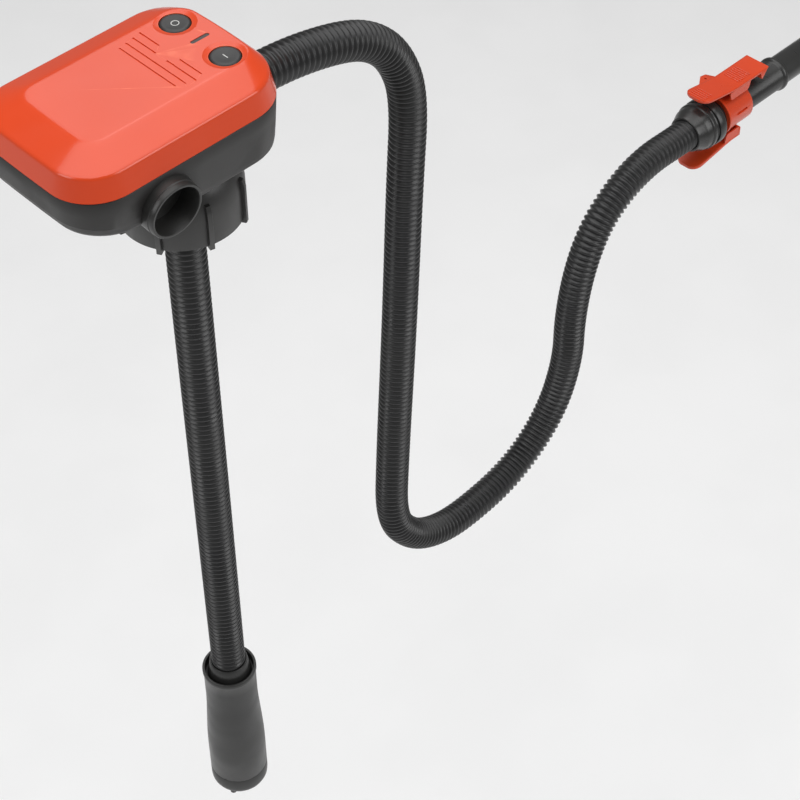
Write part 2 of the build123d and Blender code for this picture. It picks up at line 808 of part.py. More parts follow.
impeller_top_z, impeller_bottom_z = -455.0, -466.0
with BuildPart() as impeller:
    with BuildSketch(Plane.XY.offset(impeller_top_z)):
        add(ring(11.0, shaft_r))
    extrude(amount=-1.6)
    with BuildSketch(Plane.XY.offset(impeller_top_z)):
        add(ring(3.4, shaft_r))
    extrude(amount=impeller_bottom_z - impeller_top_z)
    with BuildSketch(Plane.XY.offset(impeller_top_z)):
        with PolarLocations(7.0, 5):
            Rectangle(7.6, 1.2, rotation=28)
    extrude(amount=impeller_bottom_z - impeller_top_z + 2)
save(impeller, "impeller")

with BuildPart() as pump_volute:
    with BuildSketch(Plane.XY.offset(-472)):
        Circle(chamber_r)
    extrude(amount=plate_z + 472)
    with BuildSketch(Plane.XY.offset(-470)):
        Circle(12.0)
    extrude(amount=plate_z + 470, mode=Mode.SUBTRACT)
    with BuildSketch(Plane.XY.offset(-472)):
        Circle(5.5)
    extrude(amount=2, mode=Mode.SUBTRACT)
    with BuildSketch(Plane.XY.offset(-468)):
        with PolarLocations(13.6, 3, start_angle=60):
            SlotOverall(6, 3.4, rotation=90)
    extrude(amount=plate_z + 468, mode=Mode.SUBTRACT)
save(pump_volute, "pump_volute")

cap_corner_r = 7.0
with BuildPart() as strainer_cap:
    with BuildSketch(Plane.XY.offset(head_bottom_z)):
        Circle(belly_r)
    extrude(amount=head_seam_z - head_bottom_z)
    fillet(strainer_cap.faces().sort_by(Axis.Z)[0].edges(), cap_corner_r)
    with BuildSketch(Plane.XY.offset(head_bottom_z + 2.4)):
        Circle(belly_r - shell_wall)
    extrude(amount=30, mode=Mode.SUBTRACT)
    with BuildSketch(Plane.XY.offset(head_bottom_z - 2.2)):
        with PolarLocations(14.5, 3, start_angle=-30):
            Circle(2.2)
    extrude(amount=6.5)
    with BuildSketch(Plane.XY.offset(head_bottom_z)):
        with PolarLocations(8.0, 12):
            SlotOverall(7, 1.6)
    extrude(amount=5, mode=Mode.SUBTRACT)
save(strainer_cap, "strainer_cap")

# ---------------------------------------------------------------- nozzle
nozzle_axis = Axis((0, 0, nozzle_z), (1, 0, 0))


def turned(points):
    """Closed profile of (x, radius) points, drawn above the nozzle's axis."""
    with BuildSketch(Plane.XZ) as profile:
        with BuildLine():
            Polyline(*[(x, nozzle_z + r) for x, r in points], close=True)
        make_face()
    return profile.sketch


cuff_points = [
    (430, hose_r),
    (430, 12.6),
    (432, 13.2),
    (437, 15.6),
    (442, 16.0),
    (442, 17.0),
    (445, 17.0),
    (445, 15.4),
    (448, 15.4),
    (448, 17.2),
    (454, 17.2),
    (455, 16.6),
    (455, pipe_r),
    (nozzle_hose_end_x, pipe_r),
    (nozzle_hose_end_x, hose_r),
]
with BuildPart() as nozzle_cuff:
    add(turned(cuff_points))
    revolve(axis=nozzle_axis)
save(nozzle_cuff, "nozzle_cuff")

pipe_points = [
    (nozzle_hose_end_x, pipe_bore_r),
    (nozzle_hose_end_x, pipe_r),
    (bead_x - 3.0, pipe_r),
    (bead_x - 1.8, bead_r - 0.4),
    (bead_x - 0.8, bead_r),
    (bead_x + 0.8, bead_r),
    (bead_x + 2.0, bead_r - 0.5),
    (bead_x + 3.0, spout_r),
    (bead_x + 3.0, pipe_bore_r),
]
with BuildPart() as nozzle_pipe:
    add(turned(pipe_points))
    revolve(axis=nozzle_axis)
save(nozzle_pipe, "nozzle_pipe")

spout_points = [
    (bead_x - 15, spout_bore_r),
    (bead_x - 15, pipe_bore_r),
    (bead_x + 3.0, pipe_bore_r),
    (bead_x + 3.0, spout_r),
    (spout_end_x, spout_r),
    (spout_end_x, spout_bore_r),
]
with BuildPart() as spout_tube:
    add(turned(spout_points))
    revolve(axis=nozzle_axis)
save(spout_tube, "spout_tube")

# ---------------------------------------------------------------- clip


def clip_plane(turn):
    """Side view of the clip: x along the pipe, y outwards, z towards the near side."""
    lean = radians(clip_lean + turn)
    return Plane((0, 0, nozzle_z), x_dir=(1, 0, 0), z_dir=(0, -cos(lean), sin(lean)))


pipe_gap = 0.06
groove_r = knuckle_r + 0.08
saddle_n = pivot_n - 0.2
with BuildPart() as clip_band:
    band_points = [
        (clip_x0, pipe_r + pipe_gap),
        (clip_x0, band_r + 1.2),
        (clip_x0 + 2.4, band_r + 1.2),
        (clip_x0 + 2.4, band_r),
        (clip_x1, band_r),
        (clip_x1, pipe_r + pipe_gap),
    ]
    add(turned(band_points))
    revolve(axis=nozzle_axis)
    # Saddles that carry the two levers.
    for turn in (0, 180):
        with BuildSketch(clip_plane(turn)):
            with Locations((pivot_x, (saddle_n + 11.9) / 2)):
                Rectangle(7, saddle_n - 11.9)
        extrude(amount=6.0, both=True)
        with BuildSketch(clip_plane(turn)):
            with Locations((pivot_x, pivot_n)):
                Circle(groove_r)
        extrude(amount=12, both=True, mode=Mode.SUBTRACT)
    # Side slot in the near side of the band.
    with BuildSketch(clip_plane(0)):
        with Locations((clip_x1 - 7, 0)):
            SlotOverall(11, 1.6)
    extrude(amount=20, mode=Mode.SUBTRACT)
save(clip_band, "clip_band")

plate_n, plate_t = 23.0, 2.2
under_n = plate_n - plate_t
pad_bend_x = 470.0
pad_slope = 0.162
upper_pad_x, lower_pad_x = 433.0, 430.0
lever_root_n = 14.6             # lower edge of the walls down the sides of a lever
upper_front = [(505.5, plate_n), (500.2, 15.0), (498.8, 16.2), (498.0, under_n)]
lower_front = [(481.0, plate_n), (481.0, 15.6), (479.0, 15.6), (479.0, under_n)]
upper_wall = [(464, under_n + 1), (466, lever_root_n), (484, lever_root_n), (486.5, under_n + 1)]
lower_wall = [(464, under_n + 1), (466, lever_root_n), (478, lever_root_n), (480, under_n + 1)]
wall_t = 1.2
tab_points = [(-17.5, -1.0), (-13.0, 7.0), (-5.0, 7.0), (0.0, -1.0)]


def pad_rise(x):
    """Height of the flared thumb pad above the flat of the lever."""
    return pad_slope * (pad_bend_x - x)


for label, turn, front, wall, pad_x, tab_side in (
    ("clip_lever_upper", 0, upper_front, upper_wall, upper_pad_x, -1),
    ("clip_lever_lower", 180, lower_front, lower_wall, lower_pad_x, 1),
):
    side_view = clip_plane(turn)
    pad = [
        (pad_bend_x, under_n),
        (pad_x, under_n + pad_rise(pad_x)),
        (pad_x, plate_n + pad_rise(pad_x)),
        (pad_bend_x, plate_n),
    ]
    with BuildPart() as lever:
        with BuildSketch(side_view):
            with BuildLine():
                Polyline(*front, *pad, close=True)
            make_face()
        extrude(amount=lever_width / 2, both=True)
        # Knuckle and its web, under the plate.
        with BuildSketch(side_view):
            with Locations((pivot_x, pivot_n)):
                Circle(knuckle_r)
            with Locations((pivot_x, (pivot_n + under_n) / 2)):
                Rectangle(1.6, under_n - pivot_n + 0.4)
        extrude(amount=5.6, both=True)
        # Walls down both sides of the root.
        for side in (-1, 1):
            with BuildSketch(side_view.offset(side * (lever_width - wall_t) / 2)):
                with BuildLine():
                    Polyline(*wall, close=True)
                make_face()
            extrude(amount=wall_t / 2, both=True)
        # Tab on the far edge, with a small eye.
        tab_plane = Plane(
            side_view.from_local_coords((pad_bend_x, plate_n, tab_side * lever_width / 2)),
            x_dir=side_view.x_dir - side_view.y_dir * pad_slope,
            z_dir=side_view.y_dir + side_view.x_dir * pad_slope,
        )
        with BuildSketch(tab_plane):
            with BuildLine():
                Polyline(*[(x, -tab_side * y) for x, y in tab_points], close=True)
            make_face()
            with Locations((-8.5, -tab_side * 2.0)):
                Circle(1.0, mode=Mode.SUBTRACT)
        extrude(amount=-plate_t)
        # Rounded corners of the thumb pad.
        pad_corners = lever.edges().filter_by(
            lambda e: abs(e.center().X - pad_x) < 0.05 and e.length < plate_t + 0.5
        )
        fillet(pad_corners, 6.0)
        # Grip ridges: fine grooves across the plate and the pad.
        for first_x, row_count, spacing in ((476.0, 1 if turn else 7, 2.0), (438.0, 5, 2.4)):
            with BuildSketch(side_view):
                for row in range(row_count):
                    groove_x = first_x + spacing * row
                    rise = max(pad_rise(groove_x), 0)
                    with Locations((groove_x, plate_n + rise + 0.25)):
                        Rectangle(1.0, 1.0)
            extrude(amount=5.5, both=True, mode=Mode.SUBTRACT)
    save(lever, label)
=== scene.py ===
"""Battery transfer pump: its visual model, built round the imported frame, in metres."""
import bmesh
import bpy
from math import cos, pi, radians, sin, sqrt
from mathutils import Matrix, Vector


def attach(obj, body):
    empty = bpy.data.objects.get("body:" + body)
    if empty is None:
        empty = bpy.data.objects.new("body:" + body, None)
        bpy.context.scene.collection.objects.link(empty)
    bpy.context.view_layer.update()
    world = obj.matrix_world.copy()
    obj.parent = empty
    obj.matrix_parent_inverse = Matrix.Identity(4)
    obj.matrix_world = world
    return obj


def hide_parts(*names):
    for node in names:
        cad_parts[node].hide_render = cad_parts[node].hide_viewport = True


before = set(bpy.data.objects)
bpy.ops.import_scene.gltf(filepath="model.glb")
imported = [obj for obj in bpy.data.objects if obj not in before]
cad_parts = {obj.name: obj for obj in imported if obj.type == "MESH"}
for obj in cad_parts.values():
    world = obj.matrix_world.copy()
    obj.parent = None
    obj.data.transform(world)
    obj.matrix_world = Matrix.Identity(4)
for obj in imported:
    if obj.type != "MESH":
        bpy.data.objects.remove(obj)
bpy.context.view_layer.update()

# ------------------------------------------------------------ lower housing
# The lower half of the housing is a black ABS tray, moulded with a fine spark texture.
# Its walls are drafted, its bottom edge is generously rounded, and its floor climbs
# towards the free end so that the pump clears the can's handle.
MM = 0.001
body_x0, body_x1, body_half_width, body_corner = -88.0, 40.5, 46.9, 25.0
seam_z, floor_z = 75.3, 44.0


def node(tree, kind, **settings):
    """Add a shader node and set its properties."""
    made = tree.nodes.new(kind)
    for key, value in settings.items():
        setattr(made, key, value)
    return made


def node_group(name, inputs, outputs):
    """Start a shader node group with named number sockets."""
    tree = bpy.data.node_groups.new(name, "ShaderNodeTree")
    for label, value in inputs.items():
        socket = tree.interface.new_socket(label, in_out="INPUT", socket_type="NodeSocketFloat")
        socket.default_value = value
    for label in outputs:
        tree.interface.new_socket(label, in_out="OUTPUT", socket_type="NodeSocketFloat")
    return tree, tree.nodes.new("NodeGroupInput"), tree.nodes.new("NodeGroupOutput")


def spread(tree, source, low, high, to_low, to_high):
    """Map a value from one range to another, with smooth ends."""
    mapped = node(tree, "ShaderNodeMapRange", interpolation_type="SMOOTHSTEP")
    tree.links.new(source, mapped.inputs["Value"])
    for label, value in (("From Min", low), ("From Max", high), ("To Min", to_low), ("To Max", to_high)):
        if isinstance(value, float):
            mapped.inputs[label].default_value = value
        else:
            tree.links.new(value, mapped.inputs[label])
    return mapped.outputs["Result"]


# Moulded plastic: a fine spark-eroded grain, slow changes of gloss, and faint flow marks.
grain, grain_in, grain_out = node_group(
    "moulded_grain", {"Grain": 900.0, "Smooth": 0.3, "Dull": 0.5}, ("Roughness", "Height", "Tone"))
place = node(grain, "ShaderNodeTexCoord").outputs["Object"]
fine = node(grain, "ShaderNodeTexNoise")
fine.inputs["Detail"].default_value = 3.0
flow = node(grain, "ShaderNodeTexNoise")
flow.inputs["Scale"].default_value = 34.0
flow.inputs["Detail"].default_value = 4.0
flow.inputs["Distortion"].default_value = 0.8
broad = node(grain, "ShaderNodeTexNoise")
broad.inputs["Scale"].default_value = 9.0
for texture in (fine, flow, broad):
    grain.links.new(place, texture.inputs["Vector"])
grain.links.new(grain_in.outputs["Grain"], fine.inputs["Scale"])
gloss = spread(grain, flow.outputs["Fac"], 0.3, 0.7, grain_in.outputs["Smooth"], grain_in.outputs["Dull"])
grain.links.new(gloss, grain_out.inputs["Roughness"])
grain.links.new(fine.outputs["Fac"], grain_out.inputs["Height"])
grain.links.new(spread(grain, broad.outputs["Fac"], 0.3, 0.7, 0.0, 1.0), grain_out.inputs["Tone"])

# Edges rubbed by handling and lit by a painted highlight: a mask from the sharpness of the surface,
# broken up by noise.
edge_rub_highlight, edge_rub_highlight_in, edge_rub_highlight_out = node_group("rubbed_and_highlit_edges", {"Sharpness": 0.56}, ("Mask",))
crest = node(edge_rub_highlight, "ShaderNodeNewGeometry").outputs["Pointiness"]
patches = node(edge_rub_highlight, "ShaderNodeTexNoise")
patches.inputs["Scale"].default_value = 120.0
edge_rub_highlight.links.new(node(edge_rub_highlight, "ShaderNodeTexCoord").outputs["Object"], patches.inputs["Vector"])
wear_and_highlight = node(edge_rub_highlight, "ShaderNodeMath", operation="MULTIPLY")
edge_rub_highlight.links.new(spread(edge_rub_highlight, crest, edge_rub_highlight_in.outputs["Sharpness"], 0.68, 0.0, 1.0), wear_and_highlight.inputs[0])
edge_rub_highlight.links.new(spread(edge_rub_highlight, patches.outputs["Fac"], 0.35, 0.65, 0.2, 1.0), wear_and_highlight.inputs[1])
edge_rub_highlight.links.new(wear_and_highlight.outputs[0], edge_rub_highlight_out.inputs["Mask"])


def use(tree, group, **values):
    """Place a node group in a material with its own values."""
    placed = node(tree, "ShaderNodeGroup", node_tree=group)
    for label, value in values.items():
        placed.inputs[label].default_value = value
    return placed


def blend_colour(tree, mask, first, second):
    """Mix two colours by a mask; a colour is three numbers or a socket."""
    mixed = node(tree, "ShaderNodeMix", data_type="RGBA")
    tree.links.new(mask, mixed.inputs["Factor"])
    for label, value in (("A", first), ("B", second)):
        socket = next(s for s in mixed.inputs if s.name == label and s.type == "RGBA")
        if isinstance(value, tuple):
            socket.default_value = (*value, 1)
        else:
            tree.links.new(value, socket)
    return next(s for s in mixed.outputs if s.type == "RGBA")


def finish(name, colour, shade, wear_and_highlight, smooth, dull, size=900.0, depth=0.03, coat=0.0, metal=0.0):
    """A moulded or machined finish: grain, slow gloss changes, flow shade, and rubbed edges whose lighter
    colour is partly wear and partly a painted edge highlight.
    """
    material = bpy.data.materials.new(name)
    material.use_nodes = True
    tree = material.node_tree
    shader = tree.nodes["Principled BSDF"]
    moulded = use(tree, grain, Grain=size, Smooth=smooth, Dull=dull)
    rubbed_and_highlit = use(tree, edge_rub_highlight)
    base = blend_colour(tree, moulded.outputs["Tone"], colour, shade)
    # The lighter edge colour is partly wear and partly a painted highlight on sharp edges.
    tree.links.new(blend_colour(tree, rubbed_and_highlit.outputs["Mask"], base, wear_and_highlight), shader.inputs["Base Color"])
    tree.links.new(moulded.outputs["Roughness"], shader.inputs["Roughness"])
    bump = node(tree, "ShaderNodeBump")
    bump.inputs["Strength"].default_value = depth
    bump.inputs["Distance"].default_value = 0.0004
    tree.links.new(moulded.outputs["Height"], bump.inputs["Height"])
    tree.links.new(bump.outputs["Normal"], shader.inputs["Normal"])
    shader.inputs["Metallic"].default_value = metal
    shader.inputs["Coat Weight"].default_value = coat
    shader.inputs["Coat Roughness"].default_value = 0.06
    return material


def plan_loop(inset=0.0, x0=body_x0, x1=body_x1, half=body_half_width, corner=body_corner, crown=2.0):
    """One loop round the housing's plan, in millimetres: straight sides and crowned ends."""
    x0, x1, half, corner = x0 + inset, x1 - inset, half - inset, max(corner - inset, 3.0)
    corners = []
    for cx, cy, start in ((x1, half, 0), (x0, half, 90), (x0, -half, 180), (x1, -half, 270)):
        cx += corner if cx < 0 else -corner
        cy += corner if cy < 0 else -corner
        turns = [radians(start + 90 * step / 14) for step in range(15)]
        corners.append([(cx + corner * cos(turn), cy + corner * sin(turn)) for turn in turns])
    loop = []
    for arc, following in zip(corners, corners[1:] + corners[:1]):
        loop += arc
        (ax, ay), (bx, by) = arc[-1], following[0]
        loop += [(ax + (bx - ax) * k / 10, ay + (by - ay) * k / 10) for k in range(1, 10)]
    ends = {True: crown, False: -0.4 * crown}
    return [(x + ends[x > -20] * (1 - (y / half) ** 2), y) for x, y in loop]


def skin(mesh, rows, ring=False):
    """Quads over rows of points, in millimetres, where every row closes on itself."""
    grid = [[mesh.verts.new(Vector(point) * MM) for point in row] for row in rows]
    following = grid[1:] + grid[:1] if ring else grid[1:]
    for low, high in zip(grid, following):
        for i in range(len(low)):
            mesh.faces.new((low[i - 1], low[i], high[i], high[i - 1]))
    if not ring:
        mesh.faces.new(grid[0])
        mesh.faces.new(grid[-1])


def make(name, mesh, material, edge=0.0, sharp=38):
    """Turn a mesh into a smooth-shaded object; edge is the width of its softened edges."""
    bmesh.ops.recalc_face_normals(mesh, faces=mesh.faces)
    data = bpy.data.meshes.new(name)
    mesh.to_mesh(data)
    mesh.free()
    data.materials.append(material)
    piece = bpy.data.objects.new(name, data)
    bpy.context.scene.collection.objects.link(piece)
    shade(piece, edge, sharp)
    return piece


def shade(piece, edge, sharp=38):
    """Smooth shading, with either bevelled or plainly sharp edges."""
    piece.data.shade_smooth()
    if edge:
        bevel = piece.modifiers.new("soft_edges", "BEVEL")
        bevel.width = edge * MM
        bevel.segments = 2
        bevel.limit_method = "ANGLE"
        bevel.angle_limit = radians(sharp)
        bevel.use_clamp_overlap = True
        bevel.harden_normals = True
    else:
        piece.data.set_sharp_from_angle(angle=radians(sharp))


def carve(piece, mesh):
    """Take a mesh's shape out of a piece, for good."""
    bmesh.ops.recalc_face_normals(mesh, faces=mesh.faces)
    tool_data = bpy.data.meshes.new("cutter")
    mesh.to_mesh(tool_data)
    mesh.free()
    tool = bpy.data.objects.new("cutter", tool_data)
    bpy.context.scene.collection.objects.link(tool)
    cut = piece.modifiers.new("cut", "BOOLEAN")
    cut.operation = "DIFFERENCE"
    cut.solver = "EXACT"
    cut.object = tool
    bpy.context.view_layer.update()
    seen = piece.evaluated_get(bpy.context.evaluated_depsgraph_get())
    carved = bpy.data.meshes.new_from_object(seen)
    piece.modifiers.clear()
    piece.data = carved
    bpy.data.objects.remove(tool)


def lathe_rows(profile, centre, axis, across, count=64):
    """Rows of a turned piece: profile holds (distance along the axis, radius) pairs."""
    centre, axis, across = Vector(centre), Vector(axis).normalized(), Vector(across)
    other = axis.cross(across)
    rows = []
    for along, radius in profile:
        turns = [2 * pi * k / count for k in range(count)]
        rows.append([centre + axis * along + (across * cos(t) + other * sin(t)) * radius for t in turns])
    return rows


UP, SIDE, LONG = (0, 0, 1), (0, 1, 0), (1, 0, 0)


def tail_lift(x):
    """Height that the floor has climbed at x."""
    return max(0.0, (-22 - x) / 70 * 9.0)


black_abs = finish("black_abs_sparked", (0.021, 0.020, 0.019), (0.028, 0.027, 0.026),
                   (0.06, 0.058, 0.055), 0.42, 0.56, size=1500.0, depth=0.10)
housing_rows = []
for drop, inset in ((7.0, 1.7), (4.2, 2.2), (2.2, 3.6), (0.9, 5.6), (0.2, 8.2), (0.0, 11.5)):
    loop = plan_loop(inset)
    housing_rows.insert(0, [(x, y, floor_z + tail_lift(x) + drop) for x, y in loop])
for z, inset in ((58.0, 1.1), (67.0, 0.5), (seam_z - 0.5, 0.05), (seam_z - 0.12, 0.3)):
    housing_rows.append([(x, y, max(z, floor_z + 7.5 + tail_lift(x))) for x, y in plan_loop(inset)])
mesh = bmesh.new()
skin(mesh, housing_rows)
lower = make("lower_housing_skin", mesh, black_abs)
mesh = bmesh.new()
for x, y in ((-81, 24), (-81, -24), (24, 33), (24, -33)):
    skin(mesh, lathe_rows(((40, 3.2), (64, 3.2)), (x, y, 0), UP, LONG, 32))
skin(mesh, lathe_rows(((39.9, 11.5), (49, 11.5)), (0, 0, 55.0), LONG, SIDE))
skin(mesh, lathe_rows(((45.1, 5.1), (52, 5.1)), (10.0, 0, 62.0), SIDE, LONG, 40))
carve(lower, mesh)
shade(lower, 0)
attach(lower, "housing")
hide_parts("lower_housing")


def dress(material, *names):
    """Give carried-over CAD nodes a finish."""
    for name in names:
        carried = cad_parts[name]
        for held in carried.material_slots:
            held.material = material
        if not carried.material_slots:
            carried.data.materials.append(material)


# ------------------------------------------------------------ battery and board
# Three lithium cells lie side by side in a moulded cradle.  The board hangs under the
# cover on four posts and carries the two switches, the lamp and the cable connector.
seal_rubber = finish("seal_rubber", (0.022, 0.022, 0.022), (0.032, 0.031, 0.03),
                     (0.05, 0.05, 0.05), 0.62, 0.8, size=1200.0, depth=0.12)
zinc_steel = finish("zinc_steel", (0.52, 0.52, 0.53), (0.44, 0.44, 0.46),
                    (0.66, 0.66, 0.66), 0.28, 0.42, size=2600.0, depth=0.05, metal=1.0)
cell_wrap = finish("cell_wrap", (0.03, 0.14, 0.32), (0.025, 0.11, 0.27),
                   (0.10, 0.2, 0.36), 0.22, 0.34, size=500.0, depth=0.02)
board_lacquer = finish("board_lacquer", (0.012, 0.10, 0.035), (0.016, 0.13, 0.045),
                       (0.2, 0.22, 0.1), 0.3, 0.42, size=2200.0, depth=0.08)
component_black = finish("component_black", (0.03, 0.03, 0.03), (0.04, 0.04, 0.04),
                         (0.09, 0.09, 0.09), 0.45, 0.6, size=1800.0, depth=0.06)
lamp_white = finish("lamp_white", (0.72, 0.72, 0.68), (0.66, 0.66, 0.6),
                    (0.8, 0.8, 0.78), 0.2, 0.3, depth=0.01)
dress(cell_wrap, "battery_cells")
dress(black_abs, "battery_cradle")
dress(board_lacquer, "control_board")
dress(component_black, "off_switch", "on_switch", "board_connector", "charge_socket")
dress(lamp_white, "indicator_light")
dress(zinc_steel, "board_screws", "housing_screws")
dress(seal_rubber, "housing_gasket", "battery_leads", "cable_seal")

# ------------------------------------------------------------ top cover
# The cover is glossy orange ABS.  A steep band rises from the seam to a crisp ridge, and
# a smooth skirt climbs from there to a flat top with two dished button seats, a slot for
# the lamp and rows of shallow grooves.
ridge_z, top_z = 88.4, 94.5
button_x, button_y = 21.2, 18.5
orange_abs = finish("orange_abs_gloss", (0.72, 0.062, 0.011), (0.66, 0.054, 0.010),
                    (0.80, 0.12, 0.04), 0.18, 0.26, size=420.0, depth=0.012, coat=0.15)


def flat_top(inset=0.0):
    """The loop round the cover's flat top."""
    return plan_loop(inset, x0=-68.0, x1=33.0, half=27.3, corner=9.0, crown=1.0)


ridge_loop, top_loop = plan_loop(2.8), flat_top()
cover_rows = [[(x, y, 92.1) for x, y in flat_top(1.5)]]
cover_rows += [[(x, y, 86.0) for x, y in plan_loop(5.2)], [(x, y, seam_z) for x, y in plan_loop(2.4)]]
for inset, z in ((0.35, seam_z + 0.02), (0.0, seam_z + 0.45), (1.2, 81.0), (2.4, 86.6), (2.62, 87.45),
                 (2.92, 88.05), (3.4, 88.5)):
    cover_rows.append([(x, y, z) for x, y in plan_loop(inset)])
for along, rise in ((0.09, 0.1), (0.16, 0.175), (0.3, 0.325), (0.5, 0.54), (0.68, 0.73), (0.82, 0.865),
                    (0.91, 0.935), (0.97, 0.972), (1.02, 0.99), (1.07, 0.998), (1.14, 1.0)):
    z = ridge_z + rise * (top_z - ridge_z)
    row = [(a[0] + (b[0] - a[0]) * along, a[1] + (b[1] - a[1]) * along, z)
           for a, b in zip(ridge_loop, top_loop)]
    cover_rows.append(row)
mesh = bmesh.new()
skin(mesh, cover_rows)
cover = make("top_cover_shell", mesh, orange_abs)

dish_r, dish_depth, bore_r = 11.0, 1.6, 8.15
ball_r = (dish_r**2 + dish_depth**2) / (2 * dish_depth)
bowl = [(top_z - dish_depth + ball_r - sqrt(ball_r**2 - r**2), r)
        for r in (2, 5, 7, 8.5, 9.6, 10.4, 11, 11.8)]
for side in (1, -1):
    mesh = bmesh.new()
    skin(mesh, lathe_rows(bowl + [(98, 12.0)], (button_x, side * button_y, 0), UP, LONG, 96))
    carve(cover, mesh)
mesh = bmesh.new()
for side in (1, -1):
    skin(mesh, lathe_rows(((88, bore_r), (97, bore_r)), (button_x, side * button_y, 0), UP, LONG, 96))


def slot_rows(x, y, length, width, z_low, z_high, along_x):
    """Rows of an upright slot with round ends."""
    loop = []
    for k in range(24):
        turn = 2 * pi * (k + 0.5) / 24
        u = width / 2 * cos(turn) + (length - width) / 2 * (1 if cos(turn) > 0 else -1)
        v = width / 2 * sin(turn)
        loop.append((x + u, y + v) if along_x else (x - v, y + u))
    return [[(px, py, z) for px, py in loop] for z in (z_low, z_high)]


skin(mesh, slot_rows(button_x, 0, 11.4, 2.5, 91, 96, True))
for x, far, near in ((-11.4, 21, -20.5), (-6.6, 22, -22.5), (-1.6, 23, 5.5), (-1.6, -2.5, -24),
                     (3.4, 24, 9), (3.4, -6, -22)):
    skin(mesh, slot_rows(x, (far + near) / 2, far - near, 0.9, 94.0, 96, False))
carve(cover, mesh)
shade(cover, 0, 24)
flat_edges, other_edges = set(), set()
for face in cover.data.polygons:
    on_top = face.normal.z > 0.99999 and face.center.z > (top_z - 0.01) * MM
    (flat_edges if on_top else other_edges).update(face.edge_keys)
for rim in cover.data.edges:
    if rim.key in flat_edges and rim.key in other_edges:
        rim.use_edge_sharp = True
weighted = cover.modifiers.new("even_shading", "WEIGHTED_NORMAL")
weighted.keep_sharp = True
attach(cover, "housing")
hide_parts("top_cover")

# ------------------------------------------------------------ buttons and lamp
# Two round black buttons, moulded with a shallow finger dish, move down in their bores.
# A ring marks the off button and a bar marks the on button.  Between them a smoked lens
# covers the lamp.
button_black = finish("button_black", (0.020, 0.020, 0.021), (0.028, 0.027, 0.026),
                      (0.05, 0.05, 0.05), 0.34, 0.44, size=700.0, depth=0.03)
print_white = finish("print_white", (0.62, 0.62, 0.6), (0.56, 0.56, 0.54),
                     (0.7, 0.7, 0.7), 0.4, 0.5, depth=0.01)
smoked_lens = finish("smoked_lens", (0.03, 0.025, 0.024), (0.036, 0.03, 0.028),
                     (0.05, 0.04, 0.04), 0.30, 0.40, depth=0.005)
finger_dish = [(88.4, 2.6), (88.4, 8.0), (92.6, 8.0), (93.35, 7.86), (93.85, 7.45), (94.1, 6.9),
               (94.14, 6.2), (94.02, 5.0), (93.84, 3.4), (93.74, 1.6), (93.72, 0.4)]
for label, side in (("off", 1), ("on", -1)):
    centre = (button_x, side * button_y, 0)
    mesh = bmesh.new()
    skin(mesh, lathe_rows(finger_dish, centre, UP, LONG))
    button = make(label + "_button_cap", mesh, button_black)
    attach(button, label + "_button")
    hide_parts(label + "_button")
    mesh = bmesh.new()
    if label == "off":
        section = ((93.74, 1.75), (93.86, 1.75), (93.88, 2.15), (93.76, 2.15))
        skin(mesh, lathe_rows(section, centre, UP, LONG, 40), ring=True)
    else:
        skin(mesh, slot_rows(centre[0], centre[1], 3.8, 0.5, 93.72, 93.86, False))
    mark = make(label + "_mark", mesh, print_white)
    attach(mark, label + "_button")
dress(smoked_lens, "indicator_lens")

# ------------------------------------------------------------ charging plug
# A soft rubber plug closes the charging socket in the far wall.  It has a domed head and
# a small tab to pull it by.
mesh = bmesh.new()
plug_profile = [(39.0, 2.2), (39.2, 2.74), (46.9, 2.74), (46.92, 6.1), (47.3, 6.5), (47.7, 6.4),
                (48.05, 5.8), (48.1, 3.0), (48.1, 0.4)]
skin(mesh, lathe_rows(plug_profile, (10.0, 0, 62.0), SIDE, LONG, 48))
tab = [(8.2, 60.6), (11.8, 60.6), (11.8, 63.4), (8.2, 63.4)]
skin(mesh, [[(x, y, z) for x, z in tab] for y in (47.6, 48.6)])
plug = make("charge_plug_cap", mesh, seal_rubber, edge=0.25)
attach(plug, "charge_plug")
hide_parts("charge_plug")

# ------------------------------------------------------------ screw collar
# The collar screws on the can's neck.  It is black ABS with a smooth sloped shoulder,
# eight grip wings and a coarse thread inside, and it turns on the neck of the housing.
collar_black = finish("black_abs_smooth", (0.020, 0.020, 0.019), (0.027, 0.026, 0.025),
                      (0.07, 0.068, 0.065), 0.3, 0.42, size=900.0, depth=0.04)
collar_profile = [(0.0, 29.4), (0.0, 32.6), (0.25, 33.2), (0.9, 33.4), (17.5, 33.4), (19.0, 33.35),
                  (22.0, 33.1), (25.0, 32.6), (28.3, 31.7), (31.6, 30.3), (34.8, 28.2), (35.6, 27.4),
                  (39.2, 25.0), (39.8, 24.4), (40.0, 23.6), (40.0, 20.6), (39.7, 20.0), (33.3, 20.0),
                  (33.3, 28.0), (27.0, 28.0), (26.0, 29.4)]
mesh = bmesh.new()
skin(mesh, lathe_rows(collar_profile, (0, 0, 0), UP, LONG, 128), ring=True)
wing = [(30.9, -1.6), (34.7, -1.6), (35.3, -0.9), (35.3, 21.5), (35.0, 23.5), (34.0, 26.0), (30.4, 27.0)]
wing_count, first_wing = 8, -59
for count in range(wing_count):
    turn = radians(first_wing + 360 / wing_count * count)
    outward, sideways = Vector((cos(turn), sin(turn), 0)), Vector((-sin(turn), cos(turn), 0))
    rows = [[outward * r + Vector((0, 0, z)) + sideways * s for r, z in wing] for s in (-1.3, 1.3)]
    skin(mesh, rows)
thread_start, thread_pitch, thread_height = 3.5, 6.0, 1.2
thread_steps, turn_steps, run_in_steps = 108, 36, 6
thread_rows = []
